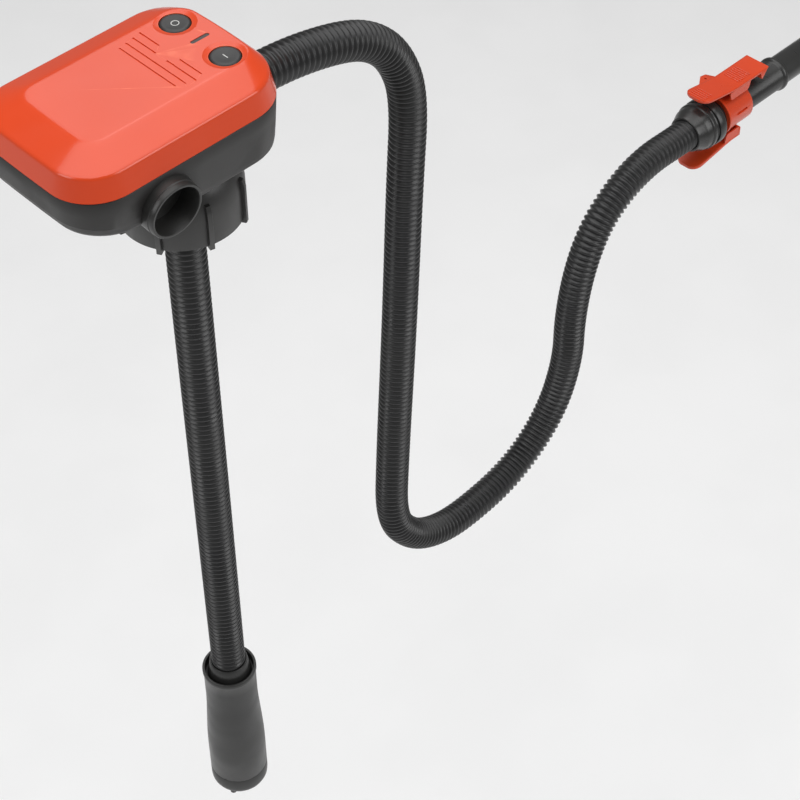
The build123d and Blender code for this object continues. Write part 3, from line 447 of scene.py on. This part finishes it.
for step in range(thread_steps + 1):
    turn = radians(step * 360 / turn_steps)
    outward = Vector((cos(turn), sin(turn), 0))
    z = thread_start + thread_pitch * step / turn_steps
    height = thread_height * min(1, step / run_in_steps, (thread_steps - step) / run_in_steps)
    section = ((29.7, -1.6), (29.4 - height, -0.4), (29.4 - height, 0.4), (29.7, 1.6))
    thread_rows.append([outward * r + Vector((0, 0, z + dz)) for r, dz in section])
skin(mesh, thread_rows)
collar = make("screw_collar_skin", mesh, collar_black, edge=0.45, sharp=50)
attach(collar, "screw_collar")
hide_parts("screw_collar")
dress(black_abs, "neck_manifold")
dress(seal_rubber, "collar_gasket")

# ------------------------------------------------------------ nozzle holder
# A short socket on the near side parks the nozzle.  It is a cup moulded with the housing,
# thick at its root and thinner at its lip, tipped six degrees mouth down.
tip = radians(6)
holder_axis, holder_mouth = (0, -cos(tip), -sin(tip)), (-41.5, -53.0, 55.5)
mesh = bmesh.new()
holder_seat = ((-14.0, 15.65), (6.0, 15.65))
skin(mesh, lathe_rows(holder_seat, holder_mouth, holder_axis, LONG, 96))
carve(lower, mesh)
shade(lower, 0)
mesh = bmesh.new()
holder_profile = [(-12.6, 1.0), (-12.6, 13.4), (-12.2, 13.5), (-0.5, 13.5), (-0.1, 13.8), (0.0, 14.4),
                  (-0.1, 14.9), (-0.5, 15.2), (-3.0, 15.3), (-3.4, 15.7), (-14.0, 15.7), (-14.0, 1.0)]
skin(mesh, lathe_rows(holder_profile, holder_mouth, holder_axis, LONG, 96))
holder = make("nozzle_holder_skin", mesh, collar_black)
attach(holder, "housing")
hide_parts("nozzle_holder")

# ------------------------------------------------------------ hoses
# Both hoses are 22 mm corrugated polyethylene.  The suction hose hangs straight down
# through the collar and carries the pump head; the discharge hose leaves the housing's
# end, drops, turns up again and carries the nozzle.
hose_black = finish("hose_black", (0.017, 0.017, 0.018), (0.022, 0.022, 0.022),
                    (0.045, 0.045, 0.045), 0.27, 0.38, size=1100.0, depth=0.03)
hose_r, groove_depth, pitch = 11.0, 1.5, 3.8
rib_parts = (0, 0.12, 0.25, 0.42, 0.58, 0.75, 0.88)


def route_line(name, points):
    """The smooth line of a hose, read from a NURBS spline through its route."""
    curve = bpy.data.curves.new(name, "CURVE")
    curve.dimensions = "3D"
    spline = curve.splines.new("NURBS")
    spline.points.add(len(points) - 1)
    for held, point in zip(spline.points, points):
        held.co = (*point, 1)
    spline.order_u = 3
    spline.use_endpoint_u = True
    spline.resolution_u = 24
    drawn = bpy.data.objects.new(name, curve)
    bpy.context.scene.collection.objects.link(drawn)
    line = [vertex.co.copy() for vertex in bpy.data.meshes.new_from_object(drawn).vertices]
    bpy.data.objects.remove(drawn)
    return line


def corrugated(mesh, line):
    """A corrugated tube along a line in the plane y = 0."""
    lengths = [0.0]
    for a, b in zip(line, line[1:]):
        lengths.append(lengths[-1] + (b - a).length)
    ribs = round(lengths[-1] / (pitch * MM))
    stations = [lengths[-1] * (rib + part) / ribs for rib in range(ribs) for part in rib_parts]
    stations.append(lengths[-1])
    rows, k = [], 0
    for index, station in enumerate(stations):
        while k < len(line) - 2 and lengths[k + 1] < station:
            k += 1
        share = (station - lengths[k]) / (lengths[k + 1] - lengths[k])
        centre = line[k].lerp(line[k + 1], share) / MM
        before, after = line[max(k - 1, 0)], line[min(k + 2, len(line) - 1)]
        along = (after - before).normalized()
        part = rib_parts[index % len(rib_parts)]
        radius = hose_r - groove_depth * (0.5 + 0.5 * cos(2 * pi * part)) ** 1.4
        rows += lathe_rows(((0, radius),), centre, along, (0, 1, 0), 36)
    skin(mesh, rows)


suction_route = [(0, 0, z) for z in (0.036, -0.03, -0.13, -0.25, -0.34, -0.400)]
suction_line = route_line("suction_line", suction_route)
mesh = bmesh.new()
corrugated(mesh, suction_line)
suction = make("suction_hose_skin", mesh, hose_black, sharp=80)
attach(suction, "housing")
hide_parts("suction_hose")
dress(seal_rubber, "motor_cable")

discharge_route = [
    (0.045, 0, 0.055), (0.0675, 0, 0.055), (0.1064, 0, 0.0476), (0.1327, 0, 0.0367),
    (0.1522, 0, 0.0161), (0.1637, 0, -0.0171), (0.1600, 0, -0.0786), (0.1558, 0, -0.1866),
    (0.1496, 0, -0.3010), (0.1474, 0, -0.3662), (0.1656, 0, -0.3987), (0.1882, 0, -0.4155),
    (0.2172, 0, -0.4226), (0.2691, 0, -0.4161), (0.3080, 0, -0.3845), (0.3234, 0, -0.3388),
    (0.3217, 0, -0.2961), (0.3280, 0, -0.2535), (0.3419, 0, -0.2221), (0.3665, 0, -0.2024),
    (0.3920, 0, -0.1950), (0.4180, 0, -0.1960), (0.4440, 0, -0.1960),
]
discharge_line = route_line("discharge_line", discharge_route)
mesh = bmesh.new()
corrugated(mesh, discharge_line)
discharge = make("discharge_hose_skin", mesh, hose_black, sharp=80)
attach(discharge, "housing")
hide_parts("discharge_hose")

# ------------------------------------------------------------ outlet
# A moulded flange closes the hole in the housing's end, and the hose fits over its tail.
mesh = bmesh.new()
outlet_profile = [(36, 8.0), (41, 8.4), (41, 11.2), (41.2, 11.4), (44.5, 11.4), (45.0, 11.0), (45.0, 8.0),
                  (57, 7.8), (57, 6.6), (36, 6.6)]
skin(mesh, lathe_rows(outlet_profile, (0, 0, 55.0), LONG, SIDE), ring=True)
outlet = make("outlet_flange", mesh, black_abs, edge=0.2)
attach(outlet, "housing")
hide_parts("outlet_spigot")

# ------------------------------------------------------------ pump head
# The head is a black ABS shell, waisted under its lip and fuller at the foot.  A conical
# cuff grips the hose in the lip, and a strainer cap with slots and three feet closes it.
head_black = finish("head_black", (0.019, 0.019, 0.019), (0.026, 0.026, 0.025),
                    (0.06, 0.06, 0.058), 0.34, 0.46, size=1200.0, depth=0.06)
shell_profile = [(-402, 15.6), (-392.4, 15.6), (-391.8, 15.9), (-391.6, 16.5), (-391.8, 17.2),
                 (-392.5, 17.6), (-394.6, 17.6), (-395.3, 17.4), (-396.0, 17.02), (-405, 17.0),
                 (-420, 17.0), (-430, 17.3), (-440, 17.9), (-452, 18.55), (-464, 19.1), (-475, 19.3),
                 (-499.6, 19.3), (-500, 19.1), (-500, 17.3), (-470, 17.3), (-449, 17.3),
                 (-443.5, 15.0), (-402, 15.0)]
cuff_profile = [(-402, 6), (-400, 6), (-400, 11.05), (-384.4, 11.05), (-384, 11.4), (-384, 11.9),
                (-384.4, 12.3), (-390, 13.1), (-397.6, 14.2), (-398, 14.7), (-398, 15.55), (-402, 15.55)]
cap_profile = [(-500.1, 17.3), (-500.1, 19.1), (-500.5, 19.3), (-509.5, 19.3), (-511.5, 19.1),
               (-513.6, 18.2), (-515.4, 16.6), (-516.6, 14.4), (-517, 12.0), (-517, 0.5),
               (-514.6, 0.5), (-514.6, 14), (-512, 16.6)]
foot_count, foot_circle, strainer_slots = 3, 14.5, 12
for label, profile, carried in (("pump_head_skin", shell_profile, "pump_head_shell"),
                                ("suction_cuff_skin", cuff_profile, "suction_cuff"),
                                ("strainer_cap_skin", cap_profile, "strainer_cap")):
    mesh = bmesh.new()
    skin(mesh, lathe_rows(profile, (0, 0, 0), UP, LONG, 96), ring=True)
    if label == "strainer_cap_skin":
        for count in range(foot_count):
            turn = radians(360 / foot_count * count - 30)
            foot = [(-519.2, 1.0), (-519.1, 1.7), (-518.6, 2.2), (-514.0, 2.4)]
            foot_centre = (foot_circle * cos(turn), foot_circle * sin(turn), 0)
            skin(mesh, lathe_rows(foot, foot_centre, UP, LONG, 24))
    piece = make(label, mesh, head_black)
    if label == "strainer_cap_skin":
        mesh = bmesh.new()
        for count in range(strainer_slots):
            turn = 2 * pi * count / strainer_slots
            loop = []
            for px, py, _ in slot_rows(8.0, 0, 7.0, 1.6, 0, 1, True)[0]:
                loop.append((px * cos(turn) - py * sin(turn), px * sin(turn) + py * cos(turn)))
            skin(mesh, [[(px, py, z) for px, py in loop] for z in (-520, -512)])
        carve(piece, mesh)
        shade(piece, 0)
    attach(piece, "housing")
    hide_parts(carried)

# ------------------------------------------------------------ motor and impeller
# A small brushed motor sits in the head over a seal plate.  Its shaft turns an open
# impeller in the volute under it.
copper = finish("copper_bare", (0.62, 0.30, 0.17), (0.52, 0.24, 0.13),
                (0.8, 0.5, 0.34), 0.3, 0.45, size=1800.0, depth=0.05, metal=1.0)
magnet_grey = finish("magnet_grey", (0.07, 0.07, 0.075), (0.09, 0.09, 0.09),
                     (0.16, 0.16, 0.16), 0.5, 0.7, size=1500.0, depth=0.15, metal=0.4)
nylon = finish("natural_nylon", (0.66, 0.65, 0.6), (0.6, 0.58, 0.53),
               (0.74, 0.73, 0.7), 0.34, 0.46, size=900.0, depth=0.04)
dress(zinc_steel, "motor_can", "motor_shaft", "armature")
dress(magnet_grey, "motor_magnets")
dress(copper, "commutator", "motor_bushes", "brushes")
dress(nylon, "impeller", "motor_end_cap")
dress(seal_rubber, "shaft_seal")
dress(black_abs, "seal_plate", "pump_volute")

# ------------------------------------------------------------ nozzle
# The nozzle is a stepped black cuff over the hose's end, a plain pipe with a bead near
# its front, and a slimmer spout pushed into that.
nozzle_black = finish("nozzle_black", (0.020, 0.020, 0.020), (0.027, 0.027, 0.026),
                      (0.06, 0.06, 0.06), 0.24, 0.34, size=800.0, depth=0.03)
nozzle_z = -196.0
nozzle_centre = (0, 0, nozzle_z)
cuff_steps = [(444, 11.0), (430.3, 11.0), (430, 11.4), (430, 12.3), (430.4, 12.8), (432.2, 13.2),
              (436.8, 15.4), (437.6, 15.7), (441.6, 16.0), (442, 16.4), (442.3, 16.9), (442.8, 17.0),
              (444.4, 17.0), (445, 16.7), (445.1, 15.6), (445.5, 15.4), (447.6, 15.4), (448, 15.7),
              (448.1, 16.9), (448.6, 17.2), (453.6, 17.2), (454.3, 17.0), (455, 16.4), (455, 11.3),
              (444, 11.2)]
pipe_steps = [(444, 9.5), (444, 11.2), (523.8, 11.2), (524.6, 11.5), (525.2, 12.1), (526.0, 12.5),
              (527.2, 12.6), (528.4, 12.4), (529.2, 11.8), (529.8, 11.0), (530, 10.65), (530, 9.5)]
spout_steps = [(512, 8.0), (512, 9.5), (530, 9.5), (530, 10.6), (620.8, 10.6), (621.7, 10.3), (622, 9.7),
               (622, 8.9), (621.7, 8.2), (621, 8.0)]
for label, profile, carried in (("nozzle_cuff_skin", cuff_steps, "nozzle_cuff"),
                                ("nozzle_pipe_skin", pipe_steps, "nozzle_pipe"),
                                ("spout_tube_skin", spout_steps, "spout_tube")):
    mesh = bmesh.new()
    skin(mesh, lathe_rows(profile, nozzle_centre, LONG, SIDE, 96), ring=True)
    piece = make(label, mesh, nozzle_black)
    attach(piece, "housing")
    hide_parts(carried)

# ------------------------------------------------------------ clip
# An orange polypropylene band slides on the pipe.  Two levers stand on it, one above and
# one below: each has a thumb pad, a plate over two walls, and a tab with an eye on the far
# edge.  The upper plate runs on to a hook; the lower one ends in a short turned-in lip.
orange_pp = finish("orange_pp_satin", (0.70, 0.066, 0.016), (0.63, 0.055, 0.013),
                   (0.82, 0.16, 0.06), 0.26, 0.36, size=700.0, depth=0.03)
plate_n, plate_t, half_lever = 23.0, 2.2, 9.7
pad_bend, pad_slope, bend_half = 470.0, 0.162, 4.0
pivot_x, pivot_n, knuckle_r, knuckle_half = 474.5, 18.0, 1.4, 5.6
clip_lean = 1.5


def clip_point(x, out, across, turn):
    """A point on the clip: x along the pipe, out from its axis, across to the near side."""
    lean = radians(clip_lean + turn)
    return Vector((x, out * sin(lean) - across * cos(lean),
                   nozzle_z + out * cos(lean) + across * sin(lean)))


def clip_block(mesh, outline, turn, low, high):
    """A block with a side view given by (x, out) points, from low to high across the clip."""
    skin(mesh, [[clip_point(x, out, across, turn) for x, out in outline] for across in (low, high)])


mesh = bmesh.new()
band_profile = [(461, 11.3), (461, 14.4), (461.3, 14.7), (463.1, 14.7), (463.4, 14.5), (463.5, 14.2),
                (464, 14.0), (486.4, 14.0), (486.9, 13.7), (487, 13.2), (487, 11.3)]
skin(mesh, lathe_rows(band_profile, nozzle_centre, LONG, SIDE, 96), ring=True)
band = make("clip_band_skin", mesh, orange_pp)
mesh = bmesh.new()
slot_x, slot_out, slot_r, slot_reach = 475, 3.2, 0.9, 4.6
side_slot = []
for k in range(24):
    turn = 2 * pi * (k + 0.5) / 24
    end_x = slot_x + (slot_reach if cos(turn) > 0 else -slot_reach)
    side_slot.append((end_x + slot_r * cos(turn), slot_out + slot_r * sin(turn)))
clip_block(mesh, side_slot, 0, 12.6, 18)
carve(band, mesh)
shade(band, 0)
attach(band, "clip")
mesh = bmesh.new()
saddle_half = 6
foot = [(471, 12.0), (478, 12.0), (477.9, 17.5), (477.5, 17.8), (476.1, 17.8), (475.6, 17.0),
        (474.5, 16.5), (473.4, 17.0), (472.9, 17.8), (471.5, 17.8), (471.1, 17.5)]
for turn in (0, 180):
    clip_block(mesh, foot, turn, -saddle_half, saddle_half)
saddles = make("clip_saddles", mesh, orange_pp, edge=0.2)
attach(saddles, "clip")
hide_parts("clip_band")


def pad_lift(x):
    """How far the thumb pad has flared above the flat of the plate at x."""
    if x > pad_bend + bend_half:
        return 0.0
    if x > pad_bend - bend_half:
        return pad_slope * (pad_bend + bend_half - x) ** 2 / (4 * bend_half)
    return pad_slope * (pad_bend - x)


def between(x, knots):
    """The height at x of a line through knots."""
    for (x0, v0), (x1, v1) in zip(knots, knots[1:]):
        if x <= x1:
            return v0 + (v1 - v0) * max(0.0, x - x0) / (x1 - x0)
    return knots[-1][1]


def reach_in(outline, start, a):
    """The distance from start, in direction a, to a closed outline round it."""
    nearest = 99.0
    for (x0, y0), (x1, y1) in zip(outline, outline[1:] + outline[:1]):
        side_x, side_y = x1 - x0, y1 - y0
        slant = cos(a) * side_y - sin(a) * side_x
        if abs(slant) > 1e-6:
            hit = ((x0 - start[0]) * side_y - (y0 - start[1]) * side_x) / slant
            if hit > 0:
                nearest = min(nearest, hit)
    return nearest


flat_under = plate_n - plate_t
upper_under = [(497.6, flat_under), (498.2, 18.5), (498.8, 16.2), (499.5, 15.2), (500.2, 15.0),
               (505.5, 22.4)]
lower_under = [(478.9, flat_under), (479.1, 15.8), (480.0, 15.6), (481.0, 15.8)]
pad_ending = [(0.0, 0.38), (0.35, 0.50), (1.1, 0.66), (2.3, 0.81), (3.8, 0.92), (5.6, 0.98), (7.5, 1.0)]
pad_stops = [446, 452, 458, 463, 466, 468, 470, 472, 474]
upper_stops = [480, 490, 496, 497.6, 497.9, 498.2, 498.5, 498.8, 499.5, 500.2, 501, 502, 503.5, 504.8,
               505.5]
lower_stops = [476, 478.6, 478.9, 479.1, 480.0, 480.8, 481.0]
upper_wall = [(464.3, 21.4), (465.2, 16.4), (466.6, 14.6), (483.6, 14.6), (485.2, 16.0), (486.6, 21.4)]
lower_wall = [(464.3, 21.4), (465.2, 16.4), (466.6, 14.6), (478.8, 14.6), (479.6, 16.0), (480.2, 21.4)]
wall_inside, wall_outside, ridge_half = 8.5, 9.66, 6.4
web = [(pivot_x - 0.8, 18.4), (pivot_x + 0.8, 18.4), (pivot_x + 0.9, 21.3), (pivot_x - 0.9, 21.3)]
tab_outline = [(452.4, -9.0), (462.4, -15.9), (467.6, -15.6), (471.0, -9.0)]
eye_x, eye_out, eye_r = 463.2, -11.8, 1.0
shares = (1.0, 0.96, 0.8, 0.6, 0.4, 0.2, 0.0, -0.2, -0.4, -0.6, -0.8, -0.96, -1.0)
edge_round = 0.35
for label, turn, pad_end, stops, under_knots, wall, ridges in (
        ("clip_lever_upper", 0, 436.0, upper_stops, upper_under, upper_wall, 7),
        ("clip_lever_lower", 180, 433.0, lower_stops, lower_under, lower_wall, 1)):
    mesh = bmesh.new()
    far_side = 1 if turn == 0 else -1
    shape = [(pad_end + along, wide) for along, wide in pad_ending]
    shape += [(x, 1.0) for x in pad_stops + stops]
    rows = []
    for x, wide in shape:
        top = plate_n + pad_lift(x)
        low = between(x, under_knots) if x > 475 else top - plate_t
        half = half_lever * wide
        over, under = [], []
        for share in shares:
            drop = edge_round if abs(share) == 1 else 0.0
            over.append(clip_point(x, top - drop, share * half, turn))
            under.append(clip_point(x, min(low + drop, top - 0.4), share * half, turn))
        rows.append(over + under[::-1])
    skin(mesh, rows)
    for side in (-1, 1):
        clip_block(mesh, wall, turn, side * wall_inside, side * wall_outside)
    for first, count, spacing in ((477.0, ridges, 2.0), (438.5, 5, 2.4)):
        for step in range(count):
            x = first + spacing * step
            bar = [(x - 0.55, -0.4), (x + 0.55, -0.4), (x + 0.5, 0.3), (x + 0.15, 0.5), (x - 0.15, 0.5),
                   (x - 0.5, 0.3)]
            bar = [(px, plate_n + pad_lift(px) + out) for px, out in bar]
            clip_block(mesh, bar, turn, -ridge_half, ridge_half)
    tab_rows = []
    for k in range(48):
        a = 2 * pi * k / 48
        reach = reach_in(tab_outline, (eye_x, eye_out), a)
        row = []
        for r, out in ((eye_r, -0.9), (eye_r, 0.9), (reach - 0.25, 1.05), (reach, 0.8), (reach, -0.8),
                       (reach - 0.25, -1.05)):
            x = eye_x + r * cos(a)
            middle = plate_n - plate_t / 2 + pad_lift(x)
            row.append(clip_point(x, middle + out, far_side * (eye_out + r * sin(a)), turn))
        tab_rows.append(row)
    skin(mesh, tab_rows, ring=True)
    knuckle = []
    for k in range(20):
        a = 2 * pi * k / 20
        knuckle.append((pivot_x + knuckle_r * cos(a), pivot_n + knuckle_r * sin(a)))
    clip_block(mesh, knuckle, turn, -knuckle_half, knuckle_half)
    clip_block(mesh, web, turn, -knuckle_half, knuckle_half)
    lever = make(label + "_skin", mesh, orange_pp, edge=0.18, sharp=50)
    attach(lever, label.replace("clip_", ""))
    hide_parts(label)

# ------------------------------------------------------------ floor, light and camera
# A plain pale floor lies under the hanging pump, with wide soft lamps overhead.
floor_height, floor_half = -0.80, 5
mesh = bmesh.new()
corners = [(x * floor_half, y * floor_half) for x, y in ((-1, -1), (1, -1), (1, 1), (-1, 1))]
mesh.faces.new([mesh.verts.new((x, y, floor_height)) for x, y in corners])
floor_paint = finish("pale_floor", (0.95, 0.95, 0.95), (0.93, 0.93, 0.93),
                     (0.95, 0.95, 0.95), 0.7, 0.8, size=40.0, depth=0.01)
floor = make("floor", mesh, floor_paint)


def softbox(name, place, aim, width, height, power):
    """A rectangular area lamp that looks at a point."""
    lamp = bpy.data.lights.new(name, "AREA")
    lamp.shape = "RECTANGLE"
    lamp.size, lamp.size_y = width, height
    lamp.energy = power
    held = bpy.data.objects.new(name, lamp)
    bpy.context.scene.collection.objects.link(held)
    held.location = place
    held.rotation_euler = (Vector(aim) - Vector(place)).to_track_quat("-Z", "Y").to_euler()


softbox("back_box", (1.1, 1.3, 1.5), (0.0, 0.0, 0.0), 1.0, 1.0, 5)
softbox("left_box", (-1.7, 0.3, 0.9), (0.1, 0.0, -0.1), 1.0, 1.4, 12)
softbox("right_box", (0.9, -1.7, 0.8), (0.2, 0.0, -0.2), 1.2, 1.4, 16)
softbox("top_box", (0.1, 0.1, 2.4), (0.1, 0.0, 0.0), 3.0, 3.0, 58)
bpy.context.scene.view_settings.view_transform = "Standard"
world = bpy.data.worlds.new("studio")
world.use_nodes = True
world.node_tree.nodes["Background"].inputs["Color"].default_value = (1.0, 1.0, 1.0, 1)
world.node_tree.nodes["Background"].inputs["Strength"].default_value = 0.22
bpy.context.scene.world = world

lens = bpy.data.cameras.new("camera")
lens.lens = 90
lens.sensor_width = 36
lens.clip_end = 20
camera = bpy.data.objects.new("camera", lens)
bpy.context.scene.collection.objects.link(camera)
camera.location = (-0.4636, -0.6285, 0.6700)
camera.rotation_euler = (radians(43.6), 0, radians(-44.6))
bpy.context.scene.camera = camera
